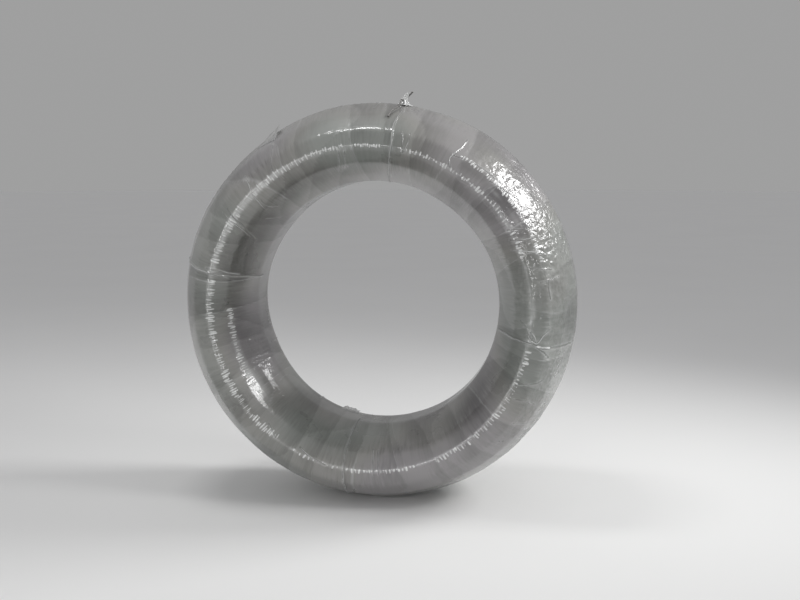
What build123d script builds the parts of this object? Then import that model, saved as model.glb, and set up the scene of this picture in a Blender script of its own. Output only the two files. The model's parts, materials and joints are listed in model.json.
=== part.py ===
from build123d import *
from math import cos, radians
import os

# A ring-shaped coil of steel wire rod, tied at four places and wound all over in stretch film.
# Millimetres, +Z up. The coil stands on its rim, with its axis along Y and its front towards -Y.
# The origin is on the floor, under the middle of the coil.

# Coil over the film
outside_diameter = 1000.0
bore_diameter = 620.0
coil_width = 370.0

# Corners of the section, from the bore to the rim: the high turns that the film is stretched over.
# An "out" is measured from the bore, a "drop" from the rim, and an "in" from the end of the coil.
bore_wall_width = 90.0
inner_corner_out = 18.0
inner_corner_in = 95.0
inner_shoulder_out = 49.0
inner_shoulder_in = 34.0
end_crest_out = 82.0
outer_shoulder_drop = 67.0
outer_shoulder_in = 14.0
outer_corner_drop = 30.0
outer_corner_in = 65.0
rim_width = 80.0

# Film: several overlapping turns, which lie in flat strips from crease to crease round the ring
film_thickness = 1.5
film_strips = 56

# Wire bundle
turn_gap = 0.3                # least gap between the film and the turns under it
ridge_width = 46.0            # about the width of a ridge on the ends, which is a group of turns
turn_depth = 3.6              # from the top of a ridge to the valley beside it

# Tie wires, bedded into the bundle by their own thickness
tie_diameter = 4.0
tie_clearance = 0.3           # between a tie and the bundle or the film
tie_bevel = 1.1               # takes the corners off a loop's section
top_tie_degrees = 82.0
left_tie_degrees = 167.0
bottom_tie_degrees = 262.0
right_tie_degrees = 350.0

# Twisted ends of the ties. Three are folded flat on the back shoulder, and the top one stands up.
twist_pitch = 24.0            # length in which the two strands go once round each other
twist_steps_per_turn = 6
folded_length = 28.0
fold_bend = 6.0               # radius of the spine of a folded pair
stem_length = 16.0
stem_place = -33.0            # along the coil's axis
hole_clearance = 0.6          # between a twist and the torn edge of the film round it
free_end_bend = 7.0           # radius of the bends in the top tie's two free ends

# Bends and tip of each free end, from the foot of the stem: along the axis, round the rim, out
upright_end = [(2.0, -7.0, 24.0), (1.0, -16.0, 36.0)]
lying_end = [(-15.0, 7.0, 13.0), (-42.0, 6.0, -4.0), (-73.0, 17.0, -17.0), (-100.0, 20.0, -33.0)]

outside_radius = outside_diameter / 2
bore_radius = bore_diameter / 2
end = coil_width / 2
half_strip = radians(180 / film_strips)
ring_centre = Pos(0, 0, outside_radius)
strip_edge_rise = bore_radius / cos(half_strip) - bore_radius
under_film = film_thickness + strip_edge_rise
tie_inset = under_film + tie_clearance + tie_diameter / 2
strand_offset = 0.46 * tie_diameter    # from the spine of a pair, so that its strands press together
tie_degrees = {
    "tie_wire_top": top_tie_degrees,
    "tie_wire_left": left_tie_degrees,
    "tie_wire_bottom": bottom_tie_degrees,
    "tie_wire_right": right_tie_degrees,
}


def section_face(inset, bore_lift=0.0):
    """Section of the ring, X its radius and Y along the axis, with every side moved in by inset."""
    front = [
        (bore_radius - bore_lift, -bore_wall_width / 2),
        (bore_radius + inner_corner_out, inner_corner_in - end),
        (bore_radius + inner_shoulder_out, inner_shoulder_in - end),
        (bore_radius + end_crest_out, -end),
        (outside_radius - outer_shoulder_drop, outer_shoulder_in - end),
        (outside_radius - outer_corner_drop, outer_corner_in - end),
        (outside_radius, -rim_width / 2),
    ]
    back = [(radius, -y) for radius, y in reversed(front)]
    face = make_face(Polyline(front + back, close=True))
    return offset(face, amount=-inset, kind=Kind.INTERSECTION) if inset else face


def at_angle(degrees):
    """Place of the section at an angle round the coil, counted from +X towards +Z."""
    return ring_centre * Rot(0, -degrees, 0)


def ridged_end(section):
    """Outline of the bundle's front end, with a ridge under each corner of the film and between."""
    corners = sorted(tuple(corner)[:2] for corner in section.vertices() if corner.Y < 0)
    points = [corners[0]]
    for low, high in zip(corners, corners[1:]):
        facet = Line(low, high)
        inward = Vector(-(facet % 0).Y, (facet % 0).X)
        slopes = 2 * max(round(facet.length / ridge_width), 1)
        for step in range(1, slopes + 1):
            point = facet @ (step / slopes) + inward * (turn_depth if step % 2 else 0.0)
            points.append((point.X, point.Y))
    return points


def wire_bundle():
    """One turned solid with its bore. Its turns show on its ends, and each tie has its channel."""
    front = ridged_end(section_face(under_film + turn_gap))
    back = [(radius, -y) for radius, y in reversed(front)]
    section = make_face(Polyline(front + back, close=True))
    bundle = ring_centre * revolve(section, Axis.Y, 360)
    channel_floor = section_face(tie_inset + tie_diameter / 2 + tie_clearance)
    channel = extrude(section_face(0) - channel_floor, amount=tie_diameter / 2 + tie_clearance, both=True)
    return bundle - [at_angle(degrees) * channel for degrees in tie_degrees.values()]


def strip_ring(inset):
    """The section swept round in flat strips, with the middle of one strip on the floor."""
    bore_lift = bore_radius - bore_radius * cos(half_strip)
    sides = RegularPolygon((bore_radius + outside_radius) / 2, film_strips, major_radius=False)
    path = (Plane.XZ * Rot(0, 0, 180 / film_strips) * sides).face().outer_wire()
    return sweep(section_face(inset, bore_lift), path=path, transition=Transition.RIGHT)


def film_wrap():
    """Closed skin of flat strips, true and round at the bore, with a hole for each tie's ends."""
    bore = Rot(90, 0, 0) * Cylinder(bore_radius, coil_width)
    skin = ring_centre * (strip_ring(0) - strip_ring(film_thickness) - bore)
    torn_hole = RegularPolygon(tie_diameter + hole_clearance, 6, major_radius=False)
    hole = extrude(torn_hole, amount=2 * film_thickness, both=True)
    return skin - [at_angle(degrees) * ends_place(name) * hole for name, degrees in tie_degrees.items()]


def ends_place(name):
    """Where a tie's ends leave the film at angle 0. Z points out of the film, X along the tie."""
    if name == "tie_wire_top":
        return Plane(origin=(outside_radius, stem_place, 0), x_dir=(0, 1, 0), z_dir=(1, 0, 0)).location
    shoulder = Vector(outside_radius - outer_shoulder_drop, end - outer_shoulder_in)
    corner = Vector(outside_radius - outer_corner_drop, end - outer_corner_in)
    along = (shoulder - corner).normalized()
    out = (along.Y, -along.X, 0)
    return Plane(origin=(shoulder + corner) / 2, x_dir=tuple(along), z_dir=out).location


def tie_loop():
    """Closed loop of tie wire round the section at angle 0."""
    outer = section_face(tie_inset - tie_diameter / 2)
    inner = section_face(tie_inset + tie_diameter / 2)
    loop = extrude(outer - inner, amount=tie_diameter / 2, both=True)
    return chamfer(loop.edges().filter_by(Plane.XY), tie_bevel)


def strand(route, x_dir):
    """One strand of tie wire, six-sided, along a route."""
    place = Plane(origin=route @ 0, x_dir=x_dir, z_dir=route % 0)
    section = place * RegularPolygon(tie_diameter / 2, 6, major_radius=False)
    return sweep(section, path=route, transition=Transition.RIGHT)


def twisted_pair(spine):
    """Two strands side by side up through the film, and twisted round the spine outside it."""
    step = twist_pitch / twist_steps_per_turn
    steps = int((spine.length - tie_inset) / step)
    pair = []
    for side in (-1, 1):
        points = []
        for count in range(-1, steps + 1):
            share = (tie_inset + step * count) / spine.length if count >= 0 else 0.0
            place = Plane(origin=spine @ share, x_dir=(1, 0, 0), z_dir=spine % share)
            turn = Rot(0, 0, 360 * max(count, 0) / twist_steps_per_turn)
            points.append((place * turn * Pos(side * strand_offset, 0, 0)).position)
        pair.append(strand(Polyline(*points), (1, 0, 0)))
    return pair[0] + pair[1]


def folded_ends():
    """Twisted ends that rise through the film and are bent down flat on it, along the rim."""
    height = tie_diameter + 2 * hole_clearance
    corners = [(0, 0, -tie_inset), (0, 0, height), (0, folded_length, height)]
    return twisted_pair(FilletPolyline(*corners, radius=fold_bend))


def standing_ends():
    """Twisted stem on the rim, and its two free ends: one stands up, one lies over the shoulder."""
    stem = twisted_pair(Line((0, 0, -tie_inset), (0, 0, stem_length)))
    fork = (0, 0, stem_length - tie_diameter)
    upright = FilletPolyline(fork, *upright_end, radius=free_end_bend)
    lying = FilletPolyline(fork, *lying_end, radius=free_end_bend)
    return stem + strand(upright, (1, 0, 0)) + strand(lying, (0, 1, 0))


parts = {"wire_bundle": wire_bundle(), "film_wrap": film_wrap()}
for name, degrees in tie_degrees.items():
    ends = standing_ends() if name == "tie_wire_top" else folded_ends()
    parts[name] = at_angle(degrees) * (tie_loop() + ends_place(name) * ends)

os.makedirs("parts", exist_ok=True)
for name, part in parts.items():
    export_step(part, f"parts/{name}.step")
    print(name, "solids", len(part.solids()), "volume", round(part.volume), "box", part.bounding_box().size)
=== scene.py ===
# %% [markdown]
# # A coil of wire rod in stretch film
#
# A steel mill winds wire rod into a ring, ties it across at four places and wraps the ring in clear
# film. This lesson dresses the engineer's model of that coil. The model is the frame: it says where
# every piece is, and nothing here moves it. All sizes are in metres.

# %% Load the frame
import json
from math import cos, pi, radians, sin

import bpy
import numpy as np
from mathutils import Matrix, Vector
from mathutils.bvhtree import BVHTree

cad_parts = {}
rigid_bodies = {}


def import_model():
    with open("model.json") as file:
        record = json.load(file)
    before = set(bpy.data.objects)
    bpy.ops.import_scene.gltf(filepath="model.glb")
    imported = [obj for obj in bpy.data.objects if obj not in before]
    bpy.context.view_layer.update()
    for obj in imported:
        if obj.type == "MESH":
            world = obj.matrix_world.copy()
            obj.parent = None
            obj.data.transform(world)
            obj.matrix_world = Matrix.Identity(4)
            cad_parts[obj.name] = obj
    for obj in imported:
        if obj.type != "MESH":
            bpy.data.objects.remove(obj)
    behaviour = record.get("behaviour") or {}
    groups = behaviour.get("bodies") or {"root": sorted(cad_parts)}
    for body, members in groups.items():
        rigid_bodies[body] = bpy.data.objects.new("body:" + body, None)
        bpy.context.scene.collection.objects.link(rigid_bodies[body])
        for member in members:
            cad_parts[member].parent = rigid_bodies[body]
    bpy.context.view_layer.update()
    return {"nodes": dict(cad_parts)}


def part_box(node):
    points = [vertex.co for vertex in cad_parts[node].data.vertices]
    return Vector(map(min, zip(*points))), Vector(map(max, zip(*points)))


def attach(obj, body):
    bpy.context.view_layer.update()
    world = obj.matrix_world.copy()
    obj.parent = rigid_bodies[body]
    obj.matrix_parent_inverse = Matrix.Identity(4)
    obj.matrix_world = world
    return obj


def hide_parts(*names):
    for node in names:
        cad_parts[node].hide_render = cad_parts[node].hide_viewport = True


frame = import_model()

MM = 0.001
film_low, film_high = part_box("film_wrap")
outside_radius = (film_high.x - film_low.x) / 2
coil_end = (film_high.y - film_low.y) / 2
centre = Vector((0, 0, outside_radius))

# %% [markdown]
# ## The camera
#
# The photographer stood a little to the right of the coil's axis and above it. The lens and the two
# angles come from fitting a ring to the coil's outline. The coil is placed in the picture by the
# pixel where its middle falls.

# %% Camera
photo_width, photo_height = 800, 600
focal_pixels = 1050
camera_turn = radians(9.1)
camera_dip = radians(7.5)
middle_pixel = (379.5, 302.0)
middle_distance = 2.70

camera_data = bpy.data.cameras.new("photo_view")
camera_data.sensor_width = 36.0
camera_data.lens = focal_pixels / photo_width * camera_data.sensor_width
camera = bpy.data.objects.new("photo_view", camera_data)
bpy.context.scene.collection.objects.link(camera)

right = Vector((cos(camera_turn), sin(camera_turn), 0))
ahead = Vector((-sin(camera_turn) * cos(camera_dip), cos(camera_turn) * cos(camera_dip), -sin(camera_dip)))
up = right.cross(ahead)
across = (middle_pixel[0] - photo_width / 2) / focal_pixels * middle_distance
above = (photo_height / 2 - middle_pixel[1]) / focal_pixels * middle_distance
eye = centre - ahead * middle_distance - right * across - up * above
turn = Matrix((right, up, -ahead)).transposed().to_4x4()
camera.matrix_world = Matrix.Translation(eye) @ turn
bpy.context.scene.camera = camera
print("camera at", tuple(round(v, 3) for v in eye))

# %% [markdown]
# ## Helpers for finishes
#
# Every finish here is a tree of nodes. These functions add a node and join it to what it reads, so
# that the finishes themselves stay short.

# %% Small helpers for nodes
def new_material(name):
    """A material, its node tree and its shader."""
    material = bpy.data.materials.new(name)
    material.use_nodes = True
    tree = material.node_tree
    return material, tree, tree.nodes["Principled BSDF"]


def feed(tree, socket, value):
    """Links a socket to another one, or sets it to a plain value."""
    if isinstance(value, bpy.types.NodeSocket):
        tree.links.new(value, socket)
    else:
        socket.default_value = value


def feed_named(tree, target, **inputs):
    """Feeds a node's inputs by name, with an underscore for a space."""
    for name, value in inputs.items():
        feed(tree, target.inputs[name.replace("_", " ")], value)


def node(tree, kind, **inputs):
    """Adds a shader node and feeds its inputs."""
    made = tree.nodes.new("ShaderNode" + kind)
    feed_named(tree, made, **inputs)
    return made


def attribute(tree, name):
    """Reads one of the mesh's own values."""
    made = node(tree, "Attribute")
    made.attribute_name = name
    return made.outputs["Fac"]


def maths(tree, operation, *values):
    """A Math node on sockets or plain numbers."""
    made = node(tree, "Math")
    made.operation = operation
    for socket, value in zip(made.inputs, values):
        feed(tree, socket, value)
    return made.outputs["Value"]


def ramp(tree, source, stops):
    """A colour ramp from (place, value or colour) stops."""
    made = node(tree, "ValToRGB", Fac=source)
    elements = made.color_ramp.elements
    while len(elements) < len(stops):
        elements.new(0.5)
    for element, (at, colour) in zip(elements, stops):
        element.position = at
        element.color = (*colour, 1) if isinstance(colour, tuple) else (colour, colour, colour, 1)
    return made.outputs["Color"]


def mixed_colour(tree, share, first, second):
    """The first colour where the share is 0, and the second where it is 1."""
    made = node(tree, "Mix")
    made.data_type = "RGBA"
    feed_named(tree, made, Factor=share, A=first, B=second)
    return made.outputs["Result"]


# %% [markdown]
# ## The studio
#
# The film is clear and shiny, so it is the lamps' reflections that draw it. One soft lamp stands to
# the right and a little behind, a small one to the right in front, and one hangs overhead. Four narrow
# strip lamps stand in front, because wrinkled film breaks several thin lamps into the many small glints
# of the photograph. Their places come from asking which way the film would have to mirror a lamp
# towards the camera where the photograph has its bright lines. All but the overhead lamp have a
# narrow spread, as from a grid, so that they don't bleach the pale floor. The world fills the shadows
# evenly. It also is the pale background, through the Light Path node.

# %% Floor, lamps and world
bpy.context.scene.view_settings.view_transform = "Standard"
floor_radius = 30
floor_colour = (0.80, 0.80, 0.79)
floor_roughness = 0.8
fill_light = (0.44, 0.44, 0.45)
far_floor = (0.349, 0.349, 0.349)
front_strip_degrees = (-38, -26, -13, 27)


def plain_material(name, colour, roughness):
    """A floor finish with a faint unevenness."""
    material, tree, shader = new_material(name)
    place = node(tree, "TexCoord").outputs["Object"]
    noise = node(tree, "TexNoise", Vector=place, Scale=1.3).outputs["Fac"]
    darker = tuple(c * 0.96 for c in colour)
    shade = ramp(tree, noise, [(0.0, darker), (1.0, colour)])
    feed_named(tree, shader, Base_Color=shade, Roughness=roughness)
    return material


bpy.ops.mesh.primitive_circle_add(vertices=64, radius=floor_radius, fill_type="NGON", location=(0, 0, 0))
floor = bpy.context.object
floor.name = "studio_floor"
floor.data.materials.append(plain_material("pale_floor", floor_colour, floor_roughness))


def soft_lamp(name, direction, distance, width, height, watts, spread_degrees=180):
    """A soft box that looks at the coil's middle. A spread below 180 degrees is a grid on it."""
    data = bpy.data.lights.new(name, "AREA")
    data.shape = "RECTANGLE"
    data.size = width
    data.size_y = height
    data.energy = watts
    data.spread = radians(spread_degrees)
    lamp = bpy.data.objects.new(name, data)
    bpy.context.scene.collection.objects.link(lamp)
    place = centre + Vector(direction).normalized() * distance
    aim = (place - centre).to_track_quat("Z", "Y").to_matrix().to_4x4()
    lamp.matrix_world = Matrix.Translation(place) @ aim


soft_lamp("right_lamp", (0.78, 0.24, 0.58), 3.0, 0.9, 1.3, watts=13, spread_degrees=90)
soft_lamp("overhead_lamp", (-0.24, -0.03, 0.97), 2.6, 0.3, 0.8, watts=15)
soft_lamp("right_front_lamp", (0.80, -0.22, 0.55), 3.0, 0.75, 0.6, watts=5.2, spread_degrees=90)
for count, turned in enumerate(front_strip_degrees):
    direction = (sin(radians(turned)), -cos(radians(turned)), 0.12)
    soft_lamp(f"front_strip_{count}", direction, 3.4, 0.15, 1.0, watts=0.9, spread_degrees=60)

world = bpy.data.worlds.new("studio")
world.use_nodes = True
bpy.context.scene.world = world
sky = world.node_tree
fill = sky.nodes["Background"]
feed_named(sky, fill, Color=(*fill_light, 1))
backdrop = node(sky, "Background", Color=(*far_floor, 1))
rays = node(sky, "LightPath").outputs
seen = rays["Is Camera Ray"]
for ray in ("Is Glossy Ray", "Is Transmission Ray"):
    seen = maths(sky, "MAXIMUM", seen, rays[ray])
mix = node(sky, "MixShader", Fac=seen)
sky.links.new(fill.outputs["Background"], mix.inputs[1])
sky.links.new(backdrop.outputs["Background"], mix.inputs[2])
feed_named(sky, sky.nodes["World Output"], Surface=mix.outputs["Shader"])

# %% [markdown]
# ## The film's section
#
# Stretched film is straight between the wires that it touches and turns at them, so cut across, the
# ring is a polygon with small round corners. The corners are those of the engineer's model, each a
# radius and a distance from the coil's middle plane. The film starts as a circle with one point for
# each corner. Each point is moved to its place, and two vertex bevels round them: the crest, which is
# the highest place of each end, gets more steps, because it is where the film glints.

# %% Section of the ring
half_section = {
    "bore_edge": (0.310, 0.045),
    "inner_corner": (0.328, 0.090),
    "inner_shoulder": (0.359, 0.151),
    "end_crest": (0.392, 0.185),
    "outer_shoulder": (0.433, 0.171),
    "outer_corner": (0.470, 0.120),
    "rim_edge": (0.500, 0.040),
}
corner_names = list(half_section)
front_points = [(radius, -along) for radius, along in half_section.values()]
back_points = [(radius, along) for radius, along in reversed(half_section.values())]
section_points = front_points + back_points
crest_round = 9.5 * MM
corner_round = 9 * MM
longest_step = 11.8 * MM


def only_selected(piece):
    """Deselects everything, then selects one piece and makes it active."""
    bpy.ops.object.select_all(action="DESELECT")
    piece.select_set(True)
    bpy.context.view_layer.objects.active = piece


def edit_chosen(piece, kind, chosen, tool, **amounts):
    """Runs an edit tool on those vertices or edges of the active piece that are chosen."""
    bpy.ops.object.mode_set(mode="EDIT")
    bpy.ops.mesh.select_mode(type=kind)
    bpy.ops.mesh.select_all(action="DESELECT")
    bpy.ops.object.mode_set(mode="OBJECT")
    for element in piece.data.vertices if kind == "VERT" else piece.data.edges:
        element.select = chosen(element)
    bpy.ops.object.mode_set(mode="EDIT")
    tool(**amounts)
    bpy.ops.object.mode_set(mode="OBJECT")


def edit_whole(tool, **amounts):
    """Runs an edit tool on the whole active piece."""
    bpy.ops.object.mode_set(mode="EDIT")
    bpy.ops.mesh.select_all(action="SELECT")
    tool(**amounts)
    bpy.ops.object.mode_set(mode="OBJECT")


def round_corners(piece, chosen, offset, segments):
    """Bevels the vertices that are chosen."""
    bevel = bpy.ops.mesh.bevel
    edit_chosen(piece, "VERT", chosen, bevel, offset=offset, segments=segments, affect="VERTICES")


def on_crest(vertex):
    """Whether a point of the section belongs to one of its two crests."""
    return abs(vertex.co.y) > coil_end - MM


bpy.ops.object.select_all(action="DESELECT")
bpy.ops.mesh.primitive_circle_add(vertices=len(section_points), radius=0.1, fill_type="NOTHING")
film = bpy.context.object
film.name = "stretch_film"
for vertex, (radius, along) in zip(film.data.vertices, section_points):
    vertex.co = (radius, along, 0)
only_selected(film)
round_corners(film, lambda vertex: not on_crest(vertex), corner_round, 3)
round_corners(film, on_crest, crest_round, 5)
print("section corners", len(section_points), "points after the bevels", len(film.data.vertices))

# %% [markdown]
# ## Turning the section into a ring
#
# The straight stretches are cut into short steps first, or the film couldn't crease there. The
# section could be spun in edit mode, but a Screw modifier with no climb makes the same ring in a
# moment, even with a thousand steps. It turns about the object's own Y axis, so the section is kept
# beside the object's origin, and the ring is lifted to its place afterwards.

# %% Cut and turn
turn_steps = 920


def cut_long_edges(piece, longest):
    """Subdivides the edges that are longer than wanted, each into equal steps."""
    groups = {}
    for edge in piece.data.edges:
        first, second = (piece.data.vertices[v].co for v in edge.vertices)
        cuts = int((first - second).length / longest)
        if cuts:
            groups.setdefault(cuts, set()).add(tuple(edge.vertices))
    for cuts, group in groups.items():
        edit_chosen(piece, "EDGE", lambda edge: tuple(edge.vertices) in group,
                    bpy.ops.mesh.subdivide, number_cuts=cuts)


cut_long_edges(film, longest_step)
section_count = len(film.data.vertices)
screw = film.modifiers.new("turn", "SCREW")
screw.axis = "Y"
screw.steps = turn_steps
screw.render_steps = turn_steps
screw.use_merge_vertices = True
bpy.ops.object.modifier_apply(modifier=screw.name)
film.location = centre
bpy.ops.object.transform_apply(location=True, rotation=True, scale=True)
edit_whole(bpy.ops.mesh.normals_make_consistent, inside=False)
print("film grid", section_count, "x", turn_steps, "=", len(film.data.polygons), "faces")

# %% [markdown]
# ## Where a point of the film is
#
# Creases follow the film, so each point needs two numbers: the angle round the coil and how far
# round the section it lies, its place. The angle starts at the right and runs anticlockwise as seen
# from the front. The place starts at the middle of the bore, runs over the front end and the rim, and
# comes back over the back end.

# %% Film coordinates
bore_middle = (section_points[0][0], 0.0)
outline = np.array([bore_middle, *section_points, bore_middle])
lengths = np.concatenate([[0], np.cumsum(np.hypot(*np.diff(outline, axis=0).T))])
section_length = lengths[-1]
rim_middle = section_length / 2
front_at = dict(zip(corner_names, lengths[1:]))
back_at = dict(zip(reversed(corner_names), lengths[1 + len(corner_names):]))
inner_facet_middle = 0.5 * (front_at["inner_corner"] + front_at["inner_shoulder"])


def read_points(piece, what="co"):
    """The vertices' places, or their normals, as an array."""
    flat = np.empty(len(piece.data.vertices) * 3)
    piece.data.vertices.foreach_get(what, flat)
    return flat.reshape(-1, 3)


def ring_places(points):
    """Angle round the coil and place round the section, for each point."""
    angle = np.arctan2(points[:, 2] - centre.z, points[:, 0])
    across = np.stack([np.hypot(points[:, 0], points[:, 2] - centre.z), points[:, 1]], axis=-1)
    gap = np.full(len(points), np.inf)
    place = np.zeros(len(points))
    for start, finish, base in zip(outline[:-1], outline[1:], lengths):
        step = finish - start
        share = np.clip((across - start) @ step / (step @ step), 0, 1)
        distance = np.hypot(*(across - start - share[:, None] * step).T)
        nearer = distance < gap
        gap[nearer] = distance[nearer]
        place[nearer] = base + share[nearer] * np.hypot(*step)
    return angle, place


points = read_points(film)
normals = read_points(film, "normal")
angle, place = ring_places(points)
radius = np.hypot(points[:, 0], points[:, 2] - centre.z)
vertex_count = len(points)
print("section length", round(section_length, 4))

# %% [markdown]
# ## Folds that can be seen one by one
#
# Each is a line on the film, drawn from the photograph as angles in degrees and places in
# millimetres. The four ties lie under the longest ones. The others are pleats where a band of film
# was pulled askew. The film swells along all of them. A thin pleat of its own goes on top of each
# later, but not on the few that are soft.

# %% Fold lines
tie_folds = {
    "tie_wire_top": [
        (83.7, 20), (83.3, 76), (81.7, 152), (81.1, 218), (81.9, 281), (81.3, 344), (81.6, 384),
    ],
    "tie_wire_left": [(167.2, 20), (167.5, 136), (167.7, 186), (167.3, 222), (167.0, 290), (167.1, 420)],
    "tie_wire_bottom": [(261.0, 20), (260.2, 90), (260.4, 153), (261.6, 213), (262.2, 280), (262.0, 420)],
    "tie_wire_right": [(350.6, 60), (350.3, 170), (350.2, 222), (349.2, 241), (349.7, 286), (350.8, 410)],
}
pleats = {
    "left_tie_upper": [(166.0, 228), (165.7, 195), (166.3, 164), (166.6, 128)],
    "right_tie_cross_a": [(357.6, 178), (355.6, 200), (350.4, 225), (346.6, 273)],
    "right_tie_cross_b": [(355.8, 262), (353.4, 243), (350.3, 231), (351.2, 214), (353.1, 203)],
    "right_tie_spray": [(350.0, 232), (353.0, 222), (354.5, 213)],
    "double_upper": [(144.5, 240), (145.1, 220), (147.0, 173), (150.3, 116)],
    "double_lower": [(146.5, 243), (146.7, 230), (147.6, 189), (149.9, 139)],
    "fold_across": [(132.8, 276), (133.5, 230), (135.1, 198), (136.8, 146)],
    "pocket": [(134.4, 184), (135.2, 165), (134.4, 140), (132.8, 124)],
    "pocket_lower": [(140.4, 130), (138.2, 101), (136.0, 78)],
    "band_edge_upper_left": [(121.6, 392), (121.2, 288), (124.2, 214)],
    "top_wrinkle_a": [(99.6, 205), (101.0, 170), (103.3, 128)],
    "top_wrinkle_b": [(97.6, 202), (98.6, 172), (100.4, 140)],
    "pair_a": [(78.7, 256), (77.6, 228), (76.9, 205)],
    "pair_b": [(76.0, 258), (75.8, 232), (76.4, 207)],
    "strip_end": [(60.2, 318), (60.1, 276), (61.2, 242), (61.4, 230), (59.8, 216)],
    "strip_side": [(60.6, 244), (55.2, 256), (49.8, 261), (44.2, 263)],
    "short_fold": [(61.4, 214), (62.2, 190), (62.9, 158)],
    "sagging_edge": [(47.0, 246), (44.8, 252), (40.6, 262), (36.6, 276)],
    "streak_a": [(46.8, 240), (39.0, 231), (31.0, 234)],
    "streak_b": [(43.0, 222), (36.0, 216), (30.5, 217)],
    "right_a": [(30.8, 206), (28.7, 242), (27.4, 280)],
    "right_b": [(27.4, 200), (25.5, 230), (24.2, 268)],
    "right_c": [(24.0, 192), (21.9, 222), (18.0, 277)],
    "right_d": [(16.6, 214), (15.0, 240), (13.6, 283)],
    "star_out": [(10.6, 238), (10.8, 268), (11.0, 306)],
    "star_down": [(11.4, 266), (8.2, 260), (4.8, 262)],
    "low_a": [(335.2, 214), (337.0, 244), (339.4, 280)],
    "low_b": [(323.2, 262), (324.6, 322), (327.3, 392)],
    "low_c": [(330.5, 226), (331.6, 252), (331.2, 296)],
    "bottom_pair_a": [(271.3, 146), (272.0, 190), (272.6, 222)],
    "bottom_pair_b": [(273.4, 150), (273.9, 188), (274.2, 220)],
    "low_left_a": [(229.0, 192), (231.4, 200), (234.4, 210)],
    "low_left_b": [(243.6, 196), (248.4, 206), (255.0, 214)],
}
soft_folds = ("streak_a", "streak_b", "short_fold")
swell_width = 6 * MM


def turned_from(degrees_at):
    """How far round each point of the film is from an angle in degrees, in radians."""
    return np.angle(np.exp(1j * (angle - radians(degrees_at))))


def route_gap(route):
    """Distance in metres from each point of the film to a line drawn on it."""
    best = np.full(vertex_count, np.inf)
    for (first_degrees, first_place), (last_degrees, last_place) in zip(route, route[1:]):
        right = turned_from(first_degrees) * radius
        up = place - first_place * MM
        up = up - section_length * np.round(up / section_length)
        run_right = np.angle(np.exp(1j * radians(last_degrees - first_degrees))) * radius
        run_up = (last_place - first_place) * MM
        share = np.clip((right * run_right + up * run_up) / (run_right ** 2 + run_up ** 2), 0, 1)
        best = np.minimum(best, np.hypot(right - share * run_right, up - share * run_up))
    return best


def swell_along(routes):
    """1 on any of these fold lines, falling off on both sides."""
    swell = np.zeros(vertex_count)
    for route in routes.values():
        swell = np.maximum(swell, np.exp(-route_gap(route) / swell_width))
    return swell


tie_swell = swell_along(tie_folds)
pleat_swell = swell_along(pleats)
print("fold lines", len(tie_folds) + len(pleats))

# %% [markdown]
# ## Creases
#
# Film wound by hand is never even. Its bands overlap like shingles, it gathers in fine parallel
# wrinkles where it turns, and it crumples where it was rubbed. Each of these is a height in metres,
# added along the surface's own normal. Sums of waves with fixed seeds stand in for chance, and they
# close on themselves all round.

# %% Waves that close on themselves
share_along = place / section_length


def film_noise(seed, round_coil, round_section, count=14):
    """Smooth noise of about -1 to 1, with so many waves round the coil and round the section."""
    draw = np.random.default_rng(seed)
    total = np.zeros(vertex_count)
    for _ in range(count):
        coil_waves = draw.integers(round_coil[0], round_coil[1] + 1)
        section_waves = draw.integers(round_section[0], round_section[1] + 1)
        start = draw.uniform(0, 2 * pi)
        total += np.cos(coil_waves * angle + 2 * pi * section_waves * share_along + start)
    return total / np.sqrt(count) * 1.1


def smooth_step(low, high, value):
    """0 at low, 1 at high, and a soft rise between. Either can be the larger."""
    share = np.clip((value - low) / (high - low), 0, 1)
    return share * share * (3 - 2 * share)


def near(at, width):
    """1 at a place round the section, falling off on both sides."""
    gap = np.abs(place - at)
    gap = np.minimum(gap, section_length - gap)
    return np.exp(-(gap / width) ** 2)


def facing(degrees_at, width_degrees):
    """1 at an angle round the coil, falling off on both sides."""
    return np.exp(-(turned_from(degrees_at) / radians(width_degrees)) ** 2)


# %% Uneven winding and overlapping bands
band_count = 26
cross_band_count = 15
uneven_height = 1.3 * MM
lap_height = 0.3 * MM
uneven = uneven_height * film_noise(3, (1, 7), (-2, 2))
band = band_count * angle / (2 * pi) - share_along + 0.30 * film_noise(5, (2, 11), (-1, 1))
band_share = band % 1
lap = lap_height * (1 - band_share) * smooth_step(0.0, 0.05, band_share)
lap *= 1 + 1.3 * near(rim_middle, 0.14)
cross_band = cross_band_count * angle / (2 * pi) + 2 * share_along + 0.5 * film_noise(8, (1, 6), (-2, 2))
cross_share = cross_band % 1
cross_lap = lap_height * (1 - cross_share) * smooth_step(0.0, 0.04, cross_share)

# How far the middle of each facet stands out, in mm, by the corner at which the facet starts.
facet_crowns = {
    "inner_corner": 0.4,
    "inner_shoulder": 0.4,
    "end_crest": 1.5,
    "outer_shoulder": 0.5,
    "outer_corner": 0.5,
}
crown = np.zeros(vertex_count)
end_place = np.minimum(place, section_length - place)
for (name, height), next_name in zip(facet_crowns.items(), corner_names[2:]):
    low, high = front_at[name], front_at[next_name]
    share = np.clip((end_place - low) / (high - low), 0, 1)
    crown += height * MM * 4 * share * (1 - share)

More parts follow.
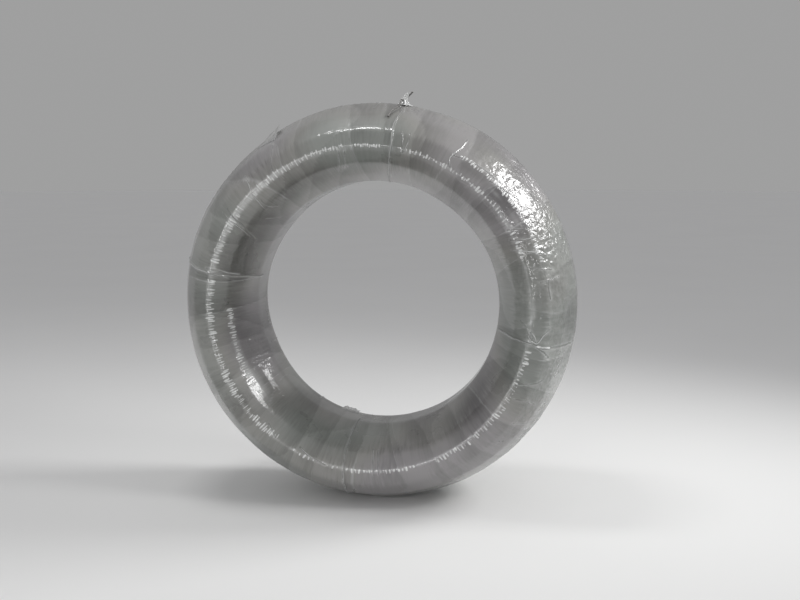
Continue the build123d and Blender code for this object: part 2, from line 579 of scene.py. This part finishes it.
# %% Fine wrinkles over the crests
wrinkle_count = 232
wrinkle_phase = wrinkle_count * angle / 2 - 6 * pi * share_along + 5.5 * film_noise(11, (2, 20), (-3, 3))
wrinkle = (1 - np.abs(np.sin(wrinkle_phase))) ** 1.5 - 0.3
patches = smooth_step(-0.6, 1.0, film_noise(13, (3, 15), (-2, 2)))
upper_left = np.clip(facing(150, 48) + 0.7 * facing(215, 30), 0, 1)
gathers = (0.45 + 0.55 * upper_left) * near(front_at["end_crest"], 0.017)
for amount, at, width in (
    (0.7, front_at["outer_shoulder"], 0.009),
    (0.6, front_at["inner_shoulder"] - 0.012, 0.016),
    (0.8, back_at["end_crest"], 0.017),
    (0.7, back_at["outer_shoulder"], 0.009),
    (0.6, back_at["inner_shoulder"] + 0.012, 0.016),
    (0.35, rim_middle, 0.11),
):
    gathers += amount * near(at, width)
gathers *= 0.35 + 0.65 * patches

# The photograph has a smooth bright patch low on the left, on the inner facet, so the film is calm there.
bright_degrees = 214
mirror_facet = facing(bright_degrees, 11) * near(inner_facet_middle, 0.032)
gathers *= 1 - 0.85 * mirror_facet
fine = MM * (0.07 + 0.45 * gathers) * wrinkle

# %% Crumpled patches
crumple_height = 1.5 * MM
crumple_lines = np.clip(1 - np.abs(film_noise(21, (34, 105), (-18, 18), 24)), 0, 1) ** 2
outer_part = smooth_step(front_at["end_crest"] + 0.012, front_at["outer_shoulder"] + 0.01, place)
outer_part *= 1 - smooth_step(back_at["outer_shoulder"], back_at["end_crest"], place)
rubbed_side = np.clip(facing(22, 30) + 0.6 * facing(-25, 22), 0, 1) * outer_part
knot_side = facing(81.6, 7) * near(front_at["rim_edge"], 0.05)
crumpled = rubbed_side + 0.6 * knot_side + 0.35 * smooth_step(0.6, 1.6, film_noise(23, (2, 9), (-3, 3)))
unseen_side = smooth_step(front_at["outer_corner"] + 0.03, front_at["rim_edge"], place)
unseen_side *= 1 - smooth_step(back_at["outer_corner"], back_at["inner_shoulder"], place)
crumpled += (0.15 + 0.55 * smooth_step(-0.3, 1.2, film_noise(25, (3, 12), (-4, 4)))) * unseen_side
crumpled += 0.45 * facing(99, 8) * near(front_at["outer_shoulder"], 0.012)
calm_corner = facing(bright_degrees, 11) * near(front_at["inner_corner"] + 0.004, 0.02)
crumpled = np.clip(crumpled, 0, 1) * (1 - 0.9 * np.maximum(mirror_facet, calm_corner))
crumple = crumple_height * crumple_lines * crumpled

# %% Shape the film
film_clearance = 1.0 * MM
least_height = -0.8 * MM
soft_limit = 0.3 * MM
floor_gap = 0.3 * MM
tie_height = 1.6 * MM
pleat_height = 0.5 * MM
billow_height = 4.5 * MM
billow_place = 133 * MM
calm = 1 - 0.7 * np.maximum(tie_swell, pleat_swell)
film_height = uneven + crown + lap + cross_lap + (fine + crumple) * calm
film_height += tie_height * tie_swell + pleat_height * pleat_swell
film_height = least_height + soft_limit * np.logaddexp(0, (film_height - least_height) / soft_limit)
film_height += film_clearance + billow_height * facing(bright_degrees, 9) * near(billow_place, 0.016)
shaped = points + normals * film_height[:, None]
shaped[:, 2] = np.maximum(shaped[:, 2], floor_gap)
film.data.vertices.foreach_set("co", shaped.ravel())
film.data.update()
bpy.ops.object.select_all(action="DESELECT")
print("film height from", round(film_height.min() / MM, 2), "to", round(film_height.max() / MM, 2), "mm")

# %% [markdown]
# ## What the finish needs to know
#
# The film's finish is drawn by its material, which reads a map and four values from each point: how
# many turns of film lie there, lowered as painted shade on part of the inner facet, how gathered and
# how crumpled they are, and how white they are, from being drawn tight over a fold and as a painted
# highlight. Every film piece gets them in the same way, so that the same kind of material suits them all.

# %% Film map and values
def store_value(mesh, name, values):
    """Stores one number for each vertex, under a name that a material can read."""
    mesh.attributes.new(name, "FLOAT", "POINT").data.foreach_set("value", values)


def write_film_values(piece, **values):
    """Writes the film's map, and named values from 0 to 1, on a piece's vertices."""
    angle, place = ring_places(read_points(piece))
    mesh = piece.data
    loop_vertex = np.empty(len(mesh.loops), dtype=np.int32)
    mesh.loops.foreach_get("vertex_index", loop_vertex)
    u = ((angle / (2 * pi) + 0.25) % 1)[loop_vertex]
    v = (place / section_length)[loop_vertex]
    starts = np.array([polygon.loop_start for polygon in mesh.polygons])
    totals = np.array([polygon.loop_total for polygon in mesh.polygons])
    for coordinate in (u, v):
        spread = np.maximum.reduceat(coordinate, starts) - np.minimum.reduceat(coordinate, starts)
        coordinate += np.repeat(spread > 0.5, totals) & (coordinate < 0.5)
    mesh.uv_layers.new(name="film_map").data.foreach_set("uv", np.stack([u, v], -1).ravel())
    for name, value in values.items():
        value = np.broadcast_to(np.clip(value, 0, 1), len(mesh.vertices))
        store_value(mesh, name, value.astype(float))
    for polygon in mesh.polygons:
        polygon.use_smooth = True


# Painted highlight, partly stretch-whitening: white on the comb at the upper left, on the comb low on the
# left, on a patch of the inner facet low on the left, and along the front crest.
comb_white_and_painted_glint = 0.34 * smooth_step(0, 1, facing(140, 30)) * near(front_at["end_crest"] - 0.001, 0.009)
comb_white_and_painted_glint += 0.3 * facing(197, 18) * near(front_at["inner_shoulder"] - 0.012, 0.012)
comb_white_and_painted_glint += 0.4 * facing(bright_degrees + 0.5, 8) * near(0.140, 0.020)
comb_white_and_painted_glint += 0.18 * near(front_at["end_crest"] + 0.002, 0.006)

# Two windows with fewer turns of film: middle in degrees and mm, and half the size in degrees and mm.
window_places = ((53, 240, 6.5, 14), (42, 232, 7, 18))
open_window = np.zeros(vertex_count)
for degrees_at, place_at, half_degrees, half_place in window_places:
    turned = np.abs(np.degrees(turned_from(degrees_at))) / half_degrees
    moved = np.abs(place / MM - place_at) / half_place
    window = (1 - smooth_step(0.6, 1.3, turned)) * (1 - smooth_step(0.6, 1.3, moved))
    open_window = np.maximum(open_window, window)
layers = 0.55 + 0.12 * film_noise(31, (2, 12), (-3, 3)) + 0.17 * (1 - band_share) + 0.13 * (1 - cross_share)
# Painted shade: the film is made thinner and darker on the inner facet at the upper left and lower right,
# where the bore is in shade.
painted_shade_side = np.clip(facing(146, 52) + 0.6 * facing(310, 30), 0, 1)
layers -= 0.42 * painted_shade_side * near(inner_facet_middle, 0.05)
band_edges = 0.32 * smooth_step(0.945, 0.99, band_share) + 0.24 * smooth_step(0.95, 0.99, cross_share)
band_edges *= 0.4 + 0.6 * patches
write_film_values(
    film,
    layers=layers - 0.2 * open_window,
    gathered=gathers + 0.25 * patches * near(front_at["inner_corner"] + 0.03, 0.03),
    crumpled=crumpled,
    # White over ties, pleats and combs is partly stretch-whitening and partly a painted highlight; on band
    # edges it is the film's own.
    stretched=0.5 * tie_swell ** 2 + 0.3 * pleat_swell ** 2 + comb_white_and_painted_glint + band_edges,
)
print("film points", vertex_count)

# %% [markdown]
# ## Pleats
#
# Where film is gathered or drawn over a tie, it stands up in a thin pleat that is finer than the
# film's own mesh. Each pleat starts as a grid. Its rows follow a fold line, its columns rise to a
# crest that leans a little to one side, and its edges dip into the film. A search tree finds the
# film's surface under each point. Besides the folds in the photograph there are some more round the
# back and the rim, where the photograph doesn't reach.

# %% Pleats of film
film_tree = BVHTree.FromPolygons(
    [tuple(co) for co in shaped], [tuple(polygon.vertices) for polygon in film.data.polygons]
)
pleat_columns = [-1.0, -0.5, -0.18, 0.0, 0.22, 0.55, 1.0]
pleat_profile = [-0.12, 0.22, 0.78, 1.0, 0.66, 0.16, -0.12]
pleat_step = 3.5 * MM
pleat_foot = 3 * MM
film_wall = 0.25 * MM
hidden_pleat_count = 46
tie_pleat_half_width = 3.2 * MM
tie_pleat_crest = 2.2 * MM


def on_film(degrees_at, place_at):
    """The film's surface and its outward direction at an angle in degrees and a place in metres."""
    place_at = place_at % section_length
    radius_at = np.interp(place_at, lengths, outline[:, 0])
    height_at = np.interp(place_at, lengths, outline[:, 1])
    turn_at = radians(degrees_at)
    guess = centre + Vector((radius_at * cos(turn_at), height_at, radius_at * sin(turn_at)))
    surface, normal, _, _ = film_tree.find_nearest(guess)
    return surface, normal


def smooth_route(route, spacing):
    """Points along a fold line at about equal steps, as degrees and metres, on rounded corners."""
    route = np.array(route, dtype=float)
    route[:, 0] = np.degrees(np.unwrap(np.radians(route[:, 0])))
    route[:, 1] *= MM
    radius_along = np.interp(route[:, 1] % section_length, lengths, outline[:, 0])
    steps = np.hypot(np.diff(np.radians(route[:, 0])) * radius_along[1:], np.diff(route[:, 1]))
    travelled = np.concatenate([[0], np.cumsum(steps)])
    count = max(int(travelled[-1] / spacing), 6)
    wanted = np.linspace(0, travelled[-1], count + 1)
    line = np.stack([np.interp(wanted, travelled, route[:, column]) for column in (0, 1)], axis=-1)
    for _ in range(3):
        line[1:-1] = (line[:-2] + 2 * line[1:-1] + line[2:]) / 4
    return line


def add_grid(name, columns, rows):
    """A flat grid with this many columns and rows of points."""
    bpy.ops.mesh.primitive_grid_add(x_subdivisions=columns - 1, y_subdivisions=rows - 1, size=1)
    grid = bpy.context.object
    grid.name = name
    return grid


def make_pleat(name, route, half_width, crest, draw):
    """One pleat along a fold line, as a grid laid on the film."""
    line = smooth_route(route, pleat_step)
    rows = len(line)
    pleat = add_grid(name, len(pleat_columns), rows)
    wobble = np.cumsum(draw.normal(0, 0.25, rows)) * MM
    wobble -= np.linspace(wobble[0], wobble[-1], rows)
    swell = np.sin(pi * np.linspace(0.02, 0.98, rows)) ** 0.5 * draw.uniform(0.8, 1.1, rows)
    swell *= 0.75 + 0.35 * np.sin(draw.uniform(2, 7) * np.linspace(0, 1, rows) + draw.uniform(0, 2 * pi))
    lean = draw.choice([-1, 1]) * draw.uniform(0.2, 0.5)
    # The pleat's crest is whitened, partly as stretch-whitening and partly as a painted highlight.
    stretched = np.clip(pleat_profile, 0, 1) * np.clip(swell, 0, 1)[:, None] * draw.uniform(0.45, 0.95)
    store_value(pleat.data, "stretched", stretched.ravel())
    for row, (degrees_at, place_at) in enumerate(line):
        before, after = line[max(row - 1, 0)], line[min(row + 1, rows - 1)]
        radius_at = np.interp(place_at % section_length, lengths, outline[:, 0])
        run = np.array([radians(after[0] - before[0]) * radius_at, after[1] - before[1]])
        side = np.array([run[1], -run[0]]) / np.hypot(*run)
        for column, (across, rise) in enumerate(zip(pleat_columns, pleat_profile)):
            out = rise * crest * swell[row] if rise > 0 else rise * pleat_foot
            offset = across * half_width + wobble[row] + lean * max(rise, 0) * crest
            surface, normal = on_film(
                degrees_at + np.degrees(offset * side[0] / radius_at), place_at + offset * side[1]
            )
            pleat.data.vertices[row * len(pleat_columns) + column].co = surface + normal * out
    return pleat


def give_thickness(piece):
    """Turns a sheet of film into a thin closed shell, and applies it."""
    only_selected(piece)
    wall = piece.modifiers.new("film", "SOLIDIFY")
    wall.thickness = film_wall
    wall.offset = 1
    bpy.ops.object.modifier_apply(modifier=wall.name)


def join_film(name, parts):
    """Joins separate sheets into one named piece, and gives it the film's thickness."""
    bpy.ops.object.select_all(action="DESELECT")
    for part in parts:
        part.select_set(True)
    bpy.context.view_layer.objects.active = parts[0]
    bpy.ops.object.join()
    joined = parts[0]
    joined.name = name
    joined.data.name = name
    only_selected(joined)
    bpy.ops.object.transform_apply(location=True, rotation=True, scale=True)
    give_thickness(joined)
    return joined


# One in four lies by the rim, and the others anywhere from there to the bore.
draw = np.random.default_rng(41)
hidden_pleats = {}
for count in range(hidden_pleat_count):
    start_degrees = draw.uniform(0, 360)
    start_place = draw.uniform(420, 850) if count % 4 else draw.uniform(330, 440)
    run_degrees, run_place = draw.normal(0, 2.0), draw.uniform(35, 95)
    middle = (start_degrees + run_degrees / 2 + draw.normal(0, 0.6), start_place + run_place / 2)
    hidden_pleats[f"pleat_{count}"] = [
        (start_degrees, start_place), middle, (start_degrees + run_degrees, start_place + run_place)
    ]
made = []
for name, route in tie_folds.items():
    made.append(make_pleat(name + "_pleat", route, tie_pleat_half_width, tie_pleat_crest, draw))
for name, route in {**pleats, **hidden_pleats}.items():
    if name not in soft_folds:
        made.append(make_pleat(name, route, draw.uniform(2.0, 3.4) * MM, draw.uniform(1.0, 2.3) * MM, draw))
film_pleats = join_film("film_pleats", made)
write_film_values(film_pleats, layers=0.5, gathered=0.1, crumpled=0.35)
print("pleats", len(made), "faces", len(film_pleats.data.polygons))

# %% [markdown]
# ## Gathers on the crests
#
# Film that goes round a ring has too much length on its inner side, and it takes that up in short
# ridges over the crests, side by side as the teeth of a comb. They catch the lamps, and their tops are
# whitened, partly as stretch-whitening and partly as a painted highlight, so they are the brightest
# thing on the coil. They are finer than the film's mesh too, so each stretch of them is a long fine
# grid. Every ridge has its own width, height and ends, and between them the grid lies just under the film.

# %% Gathered bands
gather_rows = 10
gather_foot = 0.3 * MM


def make_gathers(name, degrees_range, place_range, spacing, crest, draw):
    """A band of short ridges side by side, between two angles in degrees and two places in mm."""
    column_width = 0.17 * spacing
    radius_at = np.interp(np.mean(place_range) * MM % section_length, lengths, outline[:, 0])
    first, last = (radians(degrees_at) * radius_at for degrees_at in degrees_range)
    columns = int((last - first) / column_width)
    gathers = add_grid(name, columns, gather_rows)
    run, along = np.meshgrid(np.linspace(first, last, columns), np.linspace(0, 1, gather_rows))
    height = np.zeros_like(run)
    middle = first + spacing
    while middle < last - spacing:
        width = draw.uniform(0.32, 0.52) * spacing
        start, stop = draw.uniform(-0.1, 0.35), draw.uniform(0.6, 1.1)
        strength = draw.uniform(0.35, 1.0) * (0.8 + 0.2 * np.sin(middle / (22 * MM)))
        slant = draw.normal(0, 0.35) * spacing
        ridge = smooth_step(1, 0, np.abs(run - middle - slant * (along - 0.5)) / width)
        length = np.sin(pi * np.clip((along - start) / (stop - start), 0, 1)) ** 0.7
        height = np.maximum(height, strength * ridge * length)
        middle += draw.uniform(0.55, 1.35) * spacing
    height *= np.clip(np.minimum(along, 1 - along) * 5, 0, 1)
    for vertex, x, share, rise in zip(gathers.data.vertices, run.ravel(), along.ravel(), height.ravel()):
        place_at = (place_range[0] + (place_range[1] - place_range[0]) * share) * MM
        surface, normal = on_film(np.degrees(x / radius_at), place_at)
        vertex.co = surface + normal * (rise * crest - gather_foot)
    # The ridges' tops are whitened, partly as stretch-whitening and partly as a painted highlight.
    store_value(gathers.data, "stretched", 1.15 * height.ravel() ** 0.5)
    return gathers


# First and last angle in degrees, first and last place, spacing and height of the ridges in mm.
gathered_bands = [
    (110, 165, 195, 225, 8.0, 1.7), (97, 111, 204, 224, 7.5, 1.3), (169, 236, 192, 224, 6.4, 1.5),
    (180, 213, 136, 168, 6.2, 1.8), (18, 79, 204, 223, 9.0, 1.4), (292, 349, 204, 226, 8.5, 1.4),
    (16, 60, 243, 263, 8.0, 1.5), (238, 290, 204, 222, 10.0, 1.0), (84, 96, 204, 222, 8.0, 1.3),
]

# The same for the back and the rim, with the corner that the ridges lie over instead of their places.
hidden_bands = [
    (12, 78, "end_crest", 8.5, 1.5), (100, 164, "end_crest", 8.5, 1.5), (172, 255, "end_crest", 8.5, 1.5),
    (268, 340, "end_crest", 8.5, 1.5), (30, 66, "outer_corner", 11, 1.2), (118, 160, "outer_corner", 11, 1.2),
    (205, 250, "rim_edge", 11, 1.2), (300, 338, "outer_corner", 11, 1.2), (100, 140, "rim_edge", 11, 1.1),
]
half_band = 12
for first, last, corner, spacing, crest in hidden_bands:
    middle = back_at[corner] / MM
    gathered_bands.append((first, last, middle - half_band, middle + half_band, spacing, crest))
draw = np.random.default_rng(61)
made = []
for count, (first, last, *places, spacing, crest) in enumerate(gathered_bands):
    made.append(make_gathers(f"gathers_{count}", (first, last), places, spacing * MM, crest * MM, draw))
film_gathers = join_film("film_gathers", made)
write_film_values(film_gathers, layers=0.6, gathered=0.7, crumpled=0.15)
print("gathered bands", len(made), "faces", len(film_gathers.data.polygons))

# %% [markdown]
# ## Loose corners and the tuft at the knot
#
# In two places a corner of film stands away from the coil: one at the upper left, and the film's own
# end, which curls at the back of the bore. Each is a grid that starts on the film and lifts off as it
# goes, and its size laid flat is measured. At the top the film is bunched round the twisted wire where
# that pokes through, and a wisp of it goes up the wire's standing end. The bunch is a tube whose wall is
# folded in and out, wide at its foot and narrow at its tip.

# %% Loose corners
# Angles in degrees and places in mm: the two ends of the held edge, then those of the free edge.
loose_corner_points = [(127.5, 366), (120.4, 330), (119.2, 410), (118.4, 392)]
film_end_points = [(258.5, 862), (249.5, 856), (257.6, 800), (251.0, 806)]


def make_flap(name, corners, lift, draw):
    """A loose piece of film that lifts off between four corners, and its size laid flat."""
    columns, rows = 19, 15
    flap = add_grid(name, columns, rows)
    held_left, held_right, free_left, free_right = (np.array([d, mm * MM]) for d, mm in corners)
    phases = draw.uniform(0, 2 * pi, 4)
    for vertex in flap.data.vertices:
        across, out = vertex.co.x + 0.5, vertex.co.y + 0.5
        held = held_left + (held_right - held_left) * across
        free = free_left + (free_right - free_left) * across
        surface, normal = on_film(*(held + (free - held) * out))
        ripple = sin(11 * across + phases[0]) + 0.7 * sin(19 * across - 5 * out + phases[1])
        ripple += 0.8 * sin(8 * out + 6 * across + phases[2])
        vertex.co = surface + normal * (lift * out ** 1.6 + 0.10 * lift * ripple * out + 0.3 * MM)
    grid = read_points(flap).reshape(rows, columns, 3)
    width = np.linalg.norm(np.diff(grid, axis=1), axis=-1).sum(axis=1).mean()
    length = np.linalg.norm(np.diff(grid, axis=0), axis=-1).sum(axis=0).mean()
    area = sum(polygon.area for polygon in flap.data.polygons)
    print(name, "laid flat", round(width, 4), "x", round(length, 4), "m, area", round(area, 5))
    give_thickness(flap)
    write_film_values(flap, layers=0.7, gathered=0.3, crumpled=0.6, stretched=0.35)
    return flap, (float(width), float(length)), area


draw = np.random.default_rng(52)
bpy.ops.object.select_all(action="DESELECT")
film_corner, corner_flat, corner_area = make_flap("loose_corner", loose_corner_points, 11 * MM, draw)
film_end, end_flat, end_area = make_flap("film_end", film_end_points, 9 * MM, draw)

# %% Tuft round the knot
knot_degrees = 82
tuft_height = 31 * MM
tuft_foot = 1.0 * MM
tuft_sway = 2.0 * MM
knot_place = front_at["rim_edge"] + 7 * MM
knot_foot, knot_out = on_film(knot_degrees, knot_place)
round_way = Vector((-sin(radians(knot_degrees)), 0, cos(radians(knot_degrees))))
axis_way = Vector((0, 1, 0))
bpy.ops.mesh.primitive_cone_add(
    vertices=56, radius1=20 * MM, radius2=20 * MM, depth=1, end_fill_type="NOTHING", location=(0, 0, 0)
)
tuft = bpy.context.object
tuft.name = "knot_tuft"
only_selected(tuft)
edit_whole(bpy.ops.mesh.subdivide, number_cuts=11)
phases = draw.uniform(0, 2 * pi, 4)
for vertex in tuft.data.vertices:
    around = np.arctan2(vertex.co.y, vertex.co.x)
    rise = vertex.co.z + 0.5
    wide = np.interp(rise, [0, 0.12, 0.35, 0.5, 0.8, 1.0], [19, 12.5, 9.0, 7.0, 5.2, 3.6]) * MM
    folds = 0.16 * sin(7 * around + 5 * rise + phases[0]) + 0.08 * sin(12 * around - 6 * rise + phases[1])
    wide *= 1 + folds
    out = rise * tuft_height + tuft_sway * sin(3 * around + phases[2]) * rise - tuft_foot
    lean = np.interp(out / MM, [12, 24, 36], [0, -7, -16]) * MM
    sideways = round_way * (lean + wide * cos(around)) + axis_way * wide * sin(around)
    vertex.co = knot_foot + knot_out * out + sideways
give_thickness(tuft)
# The tuft is whitened almost fully, mostly as a painted highlight for its glint.
write_film_values(tuft, layers=1.0, gathered=0.3, crumpled=1.0, stretched=0.9)
print("tuft at", tuple(round(v, 3) for v in knot_foot), "faces", len(tuft.data.polygons))

# %% [markdown]
# ## The film's finish
#
# Several turns of clear film are milky and let the dark steel through a little. The colour and the
# clearness follow the number of turns, which is lowered as painted shade on part of the inner facet.
# What makes it read as film is how it breaks a lamp's reflection: into a comb of short lines where it
# is gathered over a crest, and into small bright facets where it is crumpled. Both are heights in one
# node group, which the wound film and the loose film share, each with its own amounts. Where film is
# drawn over a fold it turns whiter, and the same white is a painted highlight on the combs, the
# crests, the tuft and one patch low on the left.

# %% Wrinkle group
wrinkles = bpy.data.node_groups.new("film_wrinkles", "ShaderNodeTree")
wrinkle_inputs = {"Map": "Vector", "Place": "Vector", "Gathered": "Float", "Crumpled": "Float"}
for name, kind in wrinkle_inputs.items():
    wrinkles.interface.new_socket(name, in_out="INPUT", socket_type="NodeSocket" + kind)
for name in ("Height", "Creases", "Streaks"):
    wrinkles.interface.new_socket(name, in_out="OUTPUT", socket_type="NodeSocketFloat")
given = wrinkles.nodes.new("NodeGroupInput").outputs
result = wrinkles.nodes.new("NodeGroupOutput").inputs


def combed_noise(stretch, **inputs):
    """Noise on the film's map, drawn out along the section into parallel lines."""
    place = node(wrinkles, "Mapping", Vector=given["Map"], Scale=stretch).outputs["Vector"]
    return node(wrinkles, "TexNoise", Vector=place, Scale=1.0, Detail=2.0, **inputs).outputs["Fac"]


comb = combed_noise((330, 13, 1), Roughness=0.55, Distortion=0.35)
hairs = combed_noise((820, 24, 1), Roughness=0.5, Distortion=0.2)
combed = maths(wrinkles, "MULTIPLY_ADD", hairs, 0.55, comb)

crease_noise = node(wrinkles, "TexNoise", Vector=given["Place"], Scale=20.0, Detail=2.0, Roughness=0.6)
crease_noise.noise_type = "RIDGED_MULTIFRACTAL"
crease_noise.normalize = False
feed_named(wrinkles, crease_noise, Lacunarity=2.1, Distortion=0.6, Offset=1.0, Gain=2.0)
creases = crease_noise.outputs["Fac"]


def facet_edges(scale):
    """Distance to the edges of random facets. The scale is about how many lie in a metre."""
    facets = node(wrinkles, "TexVoronoi", Vector=given["Place"], Scale=scale, Randomness=1.0)
    facets.feature = "DISTANCE_TO_EDGE"
    return facets.outputs["Distance"]


facet_height = maths(wrinkles, "MULTIPLY_ADD", facet_edges(46.0), 3.0, facet_edges(105.0))
crumple_sum = maths(wrinkles, "MULTIPLY_ADD", creases, 0.3, facet_height)
crumple_part = maths(wrinkles, "MULTIPLY", crumple_sum, given["Crumpled"])
comb_part = maths(wrinkles, "MULTIPLY", combed, given["Gathered"])
crease_part = maths(wrinkles, "MULTIPLY", creases, given["Crumpled"])
feed(wrinkles, result["Height"], maths(wrinkles, "MULTIPLY_ADD", comb_part, 1.5, crumple_part))
feed(wrinkles, result["Creases"], maths(wrinkles, "ADD", comb_part, crease_part))
feed(wrinkles, result["Streaks"], combed)

# %% Film material
least_comb = 0.12
least_crumple = 0.02
thin_film = [(0.120, 0.128, 0.117), (0.130, 0.128, 0.119), (0.132, 0.126, 0.128)]
thick_film = [(0.250, 0.262, 0.245), (0.265, 0.262, 0.246), (0.270, 0.260, 0.263)]
tint_places = (0.38, 0.5, 0.62)
# White of film drawn tight, also used as a painted highlight on combs, crests and the tuft.
white_film_and_painted_glint = (0.82, 0.83, 0.82, 1)


def film_finish(name, gathered_amount, crumple_amount, clear, milky):
    """Milky stretch film. Its alpha runs from clear, in a single layer, to milky, in many."""
    material, tree, shader = new_material(name)
    film_map = node(tree, "UVMap")
    film_map.uv_map = "film_map"
    place = node(tree, "TexCoord").outputs["Object"]
    gathered = attribute(tree, "gathered")
    comb_amount = maths(tree, "MULTIPLY_ADD", gathered, gathered_amount, least_comb)
    facet_amount = maths(tree, "MULTIPLY_ADD", attribute(tree, "crumpled"), crumple_amount, least_crumple)
    group = node(tree, "Group")
    group.node_tree = wrinkles
    feed_named(tree, group, Map=film_map.outputs["UV"], Place=place)
    feed_named(tree, group, Gathered=comb_amount, Crumpled=facet_amount)
    bump = node(tree, "Bump", Height=group.outputs["Height"], Strength=1.0, Distance=1.1 * MM)

    clouds = node(tree, "TexNoise", Vector=place, Scale=7.0, Detail=4.0, Roughness=0.55).outputs["Fac"]
    tint = node(tree, "TexNoise", Vector=place, Scale=3.1, Detail=1.0).outputs["Fac"]
    cloudy = maths(tree, "MULTIPLY_ADD", clouds, 0.36, attribute(tree, "layers"))
    streaky = maths(tree, "SUBTRACT", group.outputs["Streaks"], 0.78)
    streak_share = maths(tree, "MULTIPLY_ADD", gathered, 0.7, 0.18)
    milk = maths(tree, "MULTIPLY_ADD", streaky, streak_share, cloudy)
    thin = ramp(tree, tint, list(zip(tint_places, thin_film)))
    thick = ramp(tree, tint, list(zip(tint_places, thick_film)))
    layered = mixed_colour(tree, ramp(tree, milk, [(0.45, 0.0), (1.0, 1.0)]), thin, thick)
    # White over folds, creases and combs: partly stretch-whitening, partly a painted highlight.
    white_share = maths(tree, "MULTIPLY_ADD", group.outputs["Creases"], 0.10, attribute(tree, "stretched"))
    whiteness = ramp(tree, white_share, [(0.12, 0.0), (1.0, 0.85)])
    feed_named(
        tree,
        shader,
        Base_Color=mixed_colour(tree, whiteness, layered, white_film_and_painted_glint),
        Alpha=ramp(tree, milk, [(0.4, clear), (1.0, milky)]),
        Roughness=ramp(tree, clouds, [(0.3, 0.24), (0.7, 0.40)]),
        IOR=1.5,
        Normal=bump.outputs["Normal"],
        Coat_Weight=1.0,
        Coat_Roughness=0.07,
        Coat_Normal=bump.outputs["Normal"],
    )
    return material


wound_film = film_finish("wound_film", 1.0, 1.0, clear=0.72, milky=0.95)
loose_film = film_finish("loose_film", 1.3, 1.2, clear=0.42, milky=0.75)
for piece in (film, film_gathers, film_pleats, film_corner, film_end, tuft):
    piece.data.materials.append(loose_film if piece in (film_corner, film_end, tuft) else wound_film)
    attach(piece, "root")
    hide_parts("film_wrap")

# %% [markdown]
# ## Steel
#
# The wire is drawn steel, dull and grey, and shows only as a darker depth under the film. Its turns
# run round the coil, so its pattern is rings about the coil's axis. The ties have the same finish,
# a little darker, with finer rings.

# %% Wire and tie finishes
wave_rings = 20 / (2 * pi)      # rings in a metre of a Wave Texture whose scale is 1


def steel_material(name, colour, roughness, ring_spacing):
    """Dull steel, with the turns of the wire as rings about the coil's axis."""
    material, tree, shader = new_material(name)
    place = node(tree, "TexCoord").outputs["Object"]
    centred = node(tree, "Mapping", Vector=place, Location=(0, 0, -centre.z)).outputs["Vector"]
    noise = node(tree, "TexNoise", Vector=centred, Scale=30.0, Detail=4.0).outputs["Fac"]
    dark = tuple(c * 0.7 for c in colour)
    rings = node(tree, "TexWave", Vector=centred, Scale=1 / (ring_spacing * wave_rings), Distortion=0.0)
    rings.wave_type = "RINGS"
    rings.rings_direction = "Y"
    bump = node(tree, "Bump", Height=rings.outputs["Fac"], Strength=0.6, Distance=2 * MM)
    feed_named(
        tree,
        shader,
        Base_Color=ramp(tree, noise, [(0.3, dark), (0.7, colour)]),
        Metallic=1.0,
        Roughness=ramp(tree, noise, [(0.3, roughness), (0.7, roughness + 0.15)]),
        Normal=bump.outputs["Normal"],
    )
    return material


wire_steel = steel_material("drawn_wire", (0.30, 0.30, 0.30), 0.38, 15.8 * MM)
tie_steel = steel_material("tie_wire", (0.24, 0.235, 0.23), 0.42, 3.95 * MM)
for name, obj in frame["nodes"].items():
    obj.data.materials.clear()
    obj.data.materials.append(wire_steel if name == "wire_bundle" else tie_steel)

# %% Nothing selected at the end
for obj in bpy.data.objects:
    obj.select_set(False)
